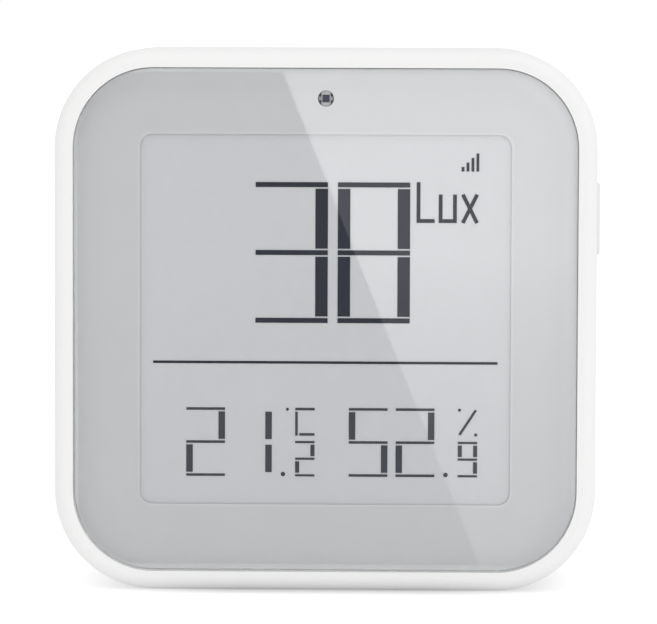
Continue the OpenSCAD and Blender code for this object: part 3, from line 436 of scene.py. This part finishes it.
# %% Display film
# The display's front film gives the eye a pale paper tone. Film and lens back face each other across thin
# air and mirror light twice, so its specular level is doubled.
film, tree, shader, place, tone = grained(
    "display_film_pale", "#BCBDC0", "#C1C2C5", 1.2, (0.008, 0.018), 0.0)
past_window = past_edge(tree, place, lens_middle, window_half, window_corner)
# Painted light: the film is made paler in a thin rim just inside the window, softening the shade of the
# print's edge.
painted_light_rim_w = 0.5 * MM
painted_light_rim = add_node(tree, "ShaderNodeMapRange", {
    "Value": past_window, "From Min": -painted_light_rim_w, "From Max": 0}, interpolation_type="SMOOTHSTEP")
lit_rimmed = add_node(tree, "ShaderNodeMix", {
    0: painted_light_rim.outputs["Result"], 6: tone, 7: to_linear("#C8CACC")}, data_type="RGBA")
tree.links.new(lit_rimmed.outputs[2], shader.inputs["Base Color"])
shader.inputs["Specular IOR Level"].default_value = 1.0
shader.inputs["IOR"].default_value = 1.6
dress(film, "display_film")

# %% Segment ink
# The dark particles of a segment give the eye a matt blue-black with no sheen. The thin segments of the lower
# readings hold fewer of them and are a little paler.
low_readings_top = 24.25 * MM
ink, tree, shader, place, tone = grained("segment_blue_black", "#282B34", "#2C2F38", 0.2, (0.75, 0.85), 0.0)
parts = add_node(tree, "ShaderNodeSeparateXYZ", {"Vector": place})
is_low = add_node(tree, "ShaderNodeMath", {
    0: parts.outputs["Z"], 1: low_readings_top}, operation="LESS_THAN")
paler = add_node(tree, "ShaderNodeMix", {
    0: is_low.outputs["Value"], 6: tone, 7: to_linear("#3F4247")}, data_type="RGBA")
tree.links.new(paler.outputs[2], shader.inputs["Base Color"])
shader.inputs["Specular IOR Level"].default_value = 0.0
dress(ink, "display_segments")

# %% [markdown]
# ## Light sensor
# Behind the small round hole sits a chip in a pale resin package with a dark square of silicon in it. The
# board around it is painted near-black, a painted shade for the dark well behind the hole.

# %% Light sensor
# Cast resin gives the eye a milky satin, silicon a dark violet shine.
resin, *_ = grained("resin_package_pale", "#BEBEBF", "#C8C8C9", 0.2, (0.3, 0.45), 0.002)
dress(resin, "light_sensor")
silicon, _, shader, *_ = grained("silicon_die_violet", "#0A0630", "#100A3C", 0.1, (0.3, 0.4), 0.0005)
shader.inputs["Specular IOR Level"].default_value = 0.2
dress(silicon, "light_sensor_die")

# %% [markdown]
# ## Circuit board
# The board is glass-fibre laminate under green solder resist. Copper tracks show through the resist as
# paler lines that stand up a little. Real tracks follow a drawing; here the joints of a brick pattern stand
# for them, because the board is only glimpsed through the vents.

# %% Solder resist
# Solder resist gives the eye a wet green gloss over pale tracks.
track_width, track_step, track_run = 0.25, 1.6, 6.0
well_shade_r = 3.0 * MM
resist, tree, shader, place, tone = grained(
    "fr4_green_solder_resist", "#0E4A30", "#15583A", 0.4, (0.25, 0.4), 0.001)
turned = add_node(tree, "ShaderNodeMapping", {"Vector": place, "Rotation": (math.pi / 2, 0, 0)})
tracks = add_node(tree, "ShaderNodeTexBrick", {
    "Vector": turned.outputs["Vector"], "Scale": per_metre(1.0), "Mortar Size": track_width / 2,
    "Brick Width": track_run, "Row Height": track_step, "Mortar Smooth": 0.2})
tracked = add_node(tree, "ShaderNodeMix", {
    0: tracks.outputs["Fac"], 6: tone, 7: to_linear("#2C7A52")}, data_type="RGBA")
# Painted shade: the board is made near-black around the light sensor, where the well behind the hole lies in
# shade.
from_sensor = add_node(tree, "ShaderNodeVectorMath", {
    0: place, 1: hole_middle}, operation="DISTANCE")
in_well_shade = add_node(tree, "ShaderNodeMath", {0: from_sensor.outputs["Value"], 1: well_shade_r},
                       operation="LESS_THAN")
well_shaded = add_node(tree, "ShaderNodeMix", {
    0: in_well_shade.outputs["Value"], 6: tracked.outputs[2], 7: to_linear("#17161A")}, data_type="RGBA")
raised = add_node(tree, "ShaderNodeBump", {"Height": tracks.outputs["Fac"], "Distance": 0.03 * MM})
tree.links.new(well_shaded.outputs[2], shader.inputs["Base Color"])
tree.links.new(raised.outputs["Normal"], shader.inputs["Normal"])
dress(resist, "main_board", "radio_board")

# %% [markdown]
# ## Small parts on the board
# Chips are moulded black epoxy, the connector is ivory nylon, the capacitor a tan block with a stripe at its
# positive end, and the tiny chip parts are ceramic with tinned ends. None of them needs a new shape: their
# finish, at the right scale, is what tells them apart through the vents.

# %% Moulded packages
# Moulded epoxy gives the eye a dry black, nylon a waxy ivory.
epoxy, *_ = grained("epoxy_black_moulded", "#151517", "#222225", 0.15, (0.5, 0.7), 0.006)
dress(epoxy, "controller_chip", "climate_sensor", "switch_body")
nylon, *_ = grained("nylon_ivory_moulded", "#CFC8B4", "#DCD5C2", 0.3, (0.35, 0.5), 0.003)
dress(nylon, "ribbon_socket")

# %% Capacitor and chip parts
# A pressed tantalum block gives the eye a dull tan with one brown stripe, tinned ceramic two bright ends.
tantalum, tree, shader, place, tone = grained(
    "tantalum_block_tan", "#B98A3C", "#CB9C4B", 0.2, (0.45, 0.6), 0.004)
capacitor_low, capacitor_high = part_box("storage_capacitor")
stripe_w = 0.7 * MM
parts = add_node(tree, "ShaderNodeSeparateXYZ", {"Vector": place})
at_end = add_node(tree, "ShaderNodeMath", {
    0: parts.outputs["X"], 1: capacitor_low.x + stripe_w}, operation="LESS_THAN")
striped = add_node(tree, "ShaderNodeMix", {
    0: at_end.outputs["Value"], 6: tone, 7: to_linear("#5A3B1C")}, data_type="RGBA")
tree.links.new(striped.outputs[2], shader.inputs["Base Color"])
dress(tantalum, "storage_capacitor")

ceramic, tree, shader, place, tone = grained(
    "ceramic_chip_tinned_ends", "#A89A84", "#B8AB96", 0.15, (0.4, 0.55), 0.003)
chips_low, chips_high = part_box("chip_parts")
tinned_w = 0.22 * MM
parts = add_node(tree, "ShaderNodeSeparateXYZ", {"Vector": place})
off_middle = add_node(tree, "ShaderNodeMath", {
    0: parts.outputs["Z"], 1: (chips_low.z + chips_high.z) / 2,
    2: (chips_high.z - chips_low.z) / 2 - tinned_w}, operation="COMPARE")
ended = add_node(tree, "ShaderNodeMix", {
    0: off_middle.outputs["Value"], 6: to_linear("#C9C9C6"), 7: tone}, data_type="RGBA")
tin = add_node(tree, "ShaderNodeMath", {0: 1.0, 1: off_middle.outputs["Value"]}, operation="SUBTRACT")
tree.links.new(ended.outputs[2], shader.inputs["Base Color"])
tree.links.new(tin.outputs["Value"], shader.inputs["Metallic"])
dress(ceramic, "chip_parts")

# %% [markdown]
# ## Layers behind the display
# Tape, glass and foam hold and cushion the display, and a ribbon of copper on amber film joins it to the
# board. Foam is bubbles, so a cell pattern dents it; the ribbon's tracks run its whole length, so bands
# across its width draw them.

# %% Tape, foam and glass
# Foam tape gives the eye a dead black, foam a soft dark grey full of pores, float glass a green edge.
tape, *_ = grained("foam_tape_black", "#141415", "#202021", 0.3, (0.75, 0.95), 0.02)
dress(tape, "lens_tape")

pore_mm = 0.5
foam, tree, shader, place, _ = grained(
    "polyethylene_foam_black", "#1C1C1E", "#2A2A2C", 0.4, (0.8, 0.95), 0.02)
pores = add_node(tree, "ShaderNodeTexVoronoi", {"Vector": place, "Scale": per_metre(pore_mm)})
dents = add_node(tree, "ShaderNodeBump", {"Height": pores.outputs["Distance"], "Distance": 0.1 * MM})
tree.links.new(dents.outputs["Normal"], shader.inputs["Normal"])
dress(foam, "display_foam")

glass, _, shader, *_ = grained("float_glass_green_edge", "#DDEAE4", "#E6F1EC", 8, (0.01, 0.04), 0.0)
shader.inputs["Transmission Weight"].default_value = 1.0
shader.inputs["IOR"].default_value = 1.52
dress(glass, "display_glass")

# %% Ribbon
# Polyimide film gives the eye a clear amber gloss with copper lines in it.
track_pitch = 0.5 * MM
band_radians_per_unit = 20
ribbon, tree, shader, place, tone = grained(
    "polyimide_ribbon_copper", "#A8661A", "#BC7822", 0.6, (0.2, 0.35), 0.001)
lines = add_node(tree, "ShaderNodeTexWave", {
    "Vector": place, "Scale": 2 * math.pi / (band_radians_per_unit * track_pitch)}, bands_direction="X")
lined = add_node(tree, "ShaderNodeMix", {
    0: lines.outputs["Fac"], 6: tone, 7: to_linear("#7A4212")}, data_type="RGBA")
swell = add_node(tree, "ShaderNodeBump", {"Height": lines.outputs["Fac"], "Distance": 0.02 * MM})
tree.links.new(lined.outputs[2], shader.inputs["Base Color"])
tree.links.new(swell.outputs["Normal"], shader.inputs["Normal"])
dress(ribbon, "display_ribbon")

# %% [markdown]
# ## Metal
# The battery contacts, the radio's shield and the crystal's lid are rolled sheet with bright nickel on it.
# Rolling leaves long fine lines, so the grain is stretched along the strip. Screws are zinc-plated steel,
# greyer and duller, with a faint mottle.

# %% Nickel and zinc
# Nickelled sheet gives the eye a warm streaked shine, zinc a cool grey one. Rolling lines are drawn at a
# tenth of a millimetre, coarser than they are, so that they show.
nickel, _, shader, *_ = grained(
    "nickel_plated_rolled_sheet", "#BDB9AE", "#CFCBC1", 0.1, (0.2, 0.38), 0.001, stretch=(1, 1, 0.05))
shader.inputs["Metallic"].default_value = 1.0
dress(nickel, "link_contact", "positive_contact", "negative_contact", "radio_shield", "crystal")
zinc, _, shader, *_ = grained("steel_zinc_plated", "#A7ABAF", "#C3C6C9", 0.35, (0.25, 0.42), 0.002)
shader.inputs["Metallic"].default_value = 1.0
dress(zinc, "case_screws", "board_screws")

# %% [markdown]
# ## Battery cells
# Two AAA cells lie head to tail. A cell is a drawn steel can with a lacquered sleeve shrunk over it: its
# ends roll in over the rim, the plus end carries a small pressed cap, and the minus end a flat disc with a
# groove around it. Everything is round, so a profile of a few points is spun once about the axis, and the
# sharp rings are then bevelled. A stack of cylinders would miss the rolled ends.

# %% Finishes of a cell
# Lacquered steel gives the eye a smooth blue with a soft highlight along the cell.
lacquer, _, shader, *_ = grained(
    "steel_sleeve_blue_lacquer", "#3B617F", "#436B8B", 2.5, (0.22, 0.34), 0.002, stretch=(0.2, 1, 1))
shader.inputs["Coat Weight"].default_value = 0.4
pale_ring, _, shader, *_ = grained(
    "steel_sleeve_pale_lacquer", "#C2C8CC", "#CFD4D7", 2.5, (0.22, 0.34), 0.002, stretch=(0.2, 1, 1))
shader.inputs["Coat Weight"].default_value = 0.4
cap_steel, _, shader, *_ = grained(
    "nickel_plated_pressed_cap", "#B9B6AE", "#CBC8C0", 0.4, (0.18, 0.34), 0.002)
shader.inputs["Metallic"].default_value = 1.0
print("cell finishes:", lacquer.name, pale_ring.name, cap_steel.name)


# %% Shape of a cell
def make_cell(name, node, tip_side):
    low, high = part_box(node)
    length, radius = (high.x - low.x) / MM, (high.z - low.z) / 2 / MM
    cap_r, cap_h = 1.9, 0.9
    shoulder = length - cap_h
    lip, groove, ring_start, ring_end = 0.5, 0.3, shoulder - 5, shoulder - 3.6
    rings = [(0, 0), (0, 3.5), (groove, 3.8), (groove, radius - 2 * lip), (0, radius - lip), (0.1, radius),
             (ring_start, radius), (ring_end, radius), (shoulder - 0.1, radius), (shoulder, radius - lip),
             (shoulder - groove, radius - 2 * lip), (shoulder - groove, cap_r + lip), (shoulder, cap_r),
             (length, cap_r), (length, 0)]
    bm = bmesh.new()
    points = [bm.verts.new((along * MM, 0, r * MM)) for along, r in rings]
    lines = [bm.edges.new(pair) for pair in zip(points, points[1:])]
    bmesh.ops.spin(bm, geom=points + lines, cent=(0, 0, 0), axis=(1, 0, 0), angle=2 * math.pi, steps=64,
                   use_merge=True)
    bmesh.ops.remove_doubles(bm, verts=bm.verts, dist=0.001 * MM)
    bmesh.ops.recalc_face_normals(bm, faces=bm.faces)
    for face in bm.faces:
        middle = face.calc_center_median()
        along, out = middle.x / MM, middle.yz.length / MM
        if out < radius - 2 * lip:
            face.material_index = 2
        elif ring_start < along < ring_end:
            face.material_index = 1
        face.smooth = True
    sharp = [e for e in bm.edges if e.calc_face_angle() > math.radians(25)]
    bmesh.ops.bevel(bm, geom=sharp, offset=0.12 * MM, affect="EDGES", segments=3, profile=0.5, material=-1,
                    clamp_overlap=True)
    if tip_side < 0:
        bmesh.ops.rotate(bm, verts=bm.verts, cent=(0, 0, 0), matrix=Matrix.Rotation(math.pi, 3, "Z"))
    base_x = low.x if tip_side > 0 else high.x
    bmesh.ops.translate(bm, verts=bm.verts, vec=(base_x, (low.y + high.y) / 2, (low.z + high.z) / 2))
    mesh = bpy.data.meshes.new(name)
    bm.to_mesh(mesh)
    bm.free()
    for material in (lacquer, pale_ring, cap_steel):
        mesh.materials.append(material)
    cell = bpy.data.objects.new(name, mesh)
    bpy.context.scene.collection.objects.link(cell)
    cell.modifiers.new("flat_end_normals", "WEIGHTED_NORMAL").keep_sharp = True
    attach(cell, "case")
    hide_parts(node)
    print(name, "is", round(length, 1), "mm long with", len(mesh.polygons), "faces")


make_cell("cell_upper", "upper_cell", 1)
make_cell("cell_lower", "lower_cell", -1)

# %% [markdown]
# ## Contact springs
# Each minus contact carries a cone of spring wire. Such springs are wound with a closed turn at both ends,
# so that they sit flat on the plate and press flat on the cell. A spin with a rising axis can't change its
# radius on the way, so a curve follows the coil and a round bevel gives it the thickness of the wire.

# %% Spring wire
# Nickelled spring wire gives the eye a thin bright line along each turn.
wire, _, shader, *_ = grained(
    "spring_wire_nickelled", "#A9A8A4", "#C6C4BF", 0.2, (0.18, 0.32), 0.001)
shader.inputs["Metallic"].default_value = 1.0


def make_spring(name, node, cell_side):
    low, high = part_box(node)
    wire_r, wide_r, narrow_r = 0.3 * MM, 3.4 * MM, 2.0 * MM
    turns, closed_share, steps_per_turn = 4, 0.2, 32
    plate_x, cell_x = low.x + wire_r, high.x - wire_r
    if cell_side < 0:
        plate_x, cell_x = cell_x, plate_x
    axis_y, axis_z = axis_of[node]
    curve = bpy.data.curves.new(name, "CURVE")
    curve.dimensions = "3D"
    curve.bevel_depth, curve.bevel_resolution, curve.use_fill_caps = wire_r, 4, True
    spline = curve.splines.new("POLY")
    spline.points.add(turns * steps_per_turn)
    for i, point in enumerate(spline.points):
        share = i / (turns * steps_per_turn)
        rise = min(max((share - closed_share) / (1 - 2 * closed_share), 0), 1)
        coil_r = wide_r + (narrow_r - wide_r) * rise
        angle = 2 * math.pi * turns * share
        point.co = (plate_x + (cell_x - plate_x) * rise, axis_y + coil_r * math.cos(angle),
                    axis_z + coil_r * math.sin(angle), 1)
    path = bpy.data.objects.new(name + "_path", curve)
    bpy.context.scene.collection.objects.link(path)
    mesh = bpy.data.meshes.new_from_object(path.evaluated_get(bpy.context.evaluated_depsgraph_get()))
    bpy.data.objects.remove(path)
    bpy.data.curves.remove(curve)
    mesh.name = name
    mesh.materials.clear()
    mesh.materials.append(wire)
    spring = bpy.data.objects.new(name, mesh)
    bpy.context.scene.collection.objects.link(spring)
    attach(spring, "case")
    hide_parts(node)
    print(name, "has", turns, "turns and", len(mesh.polygons), "faces")


axis_of = {}
for node, cell_node in (("link_spring", "upper_cell"), ("negative_spring", "lower_cell")):
    low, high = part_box(cell_node)
    axis_of[node] = ((low.y + high.y) / 2, (low.z + high.z) / 2)
make_spring("spring_link", "link_spring", 1)
make_spring("spring_negative", "negative_spring", -1)
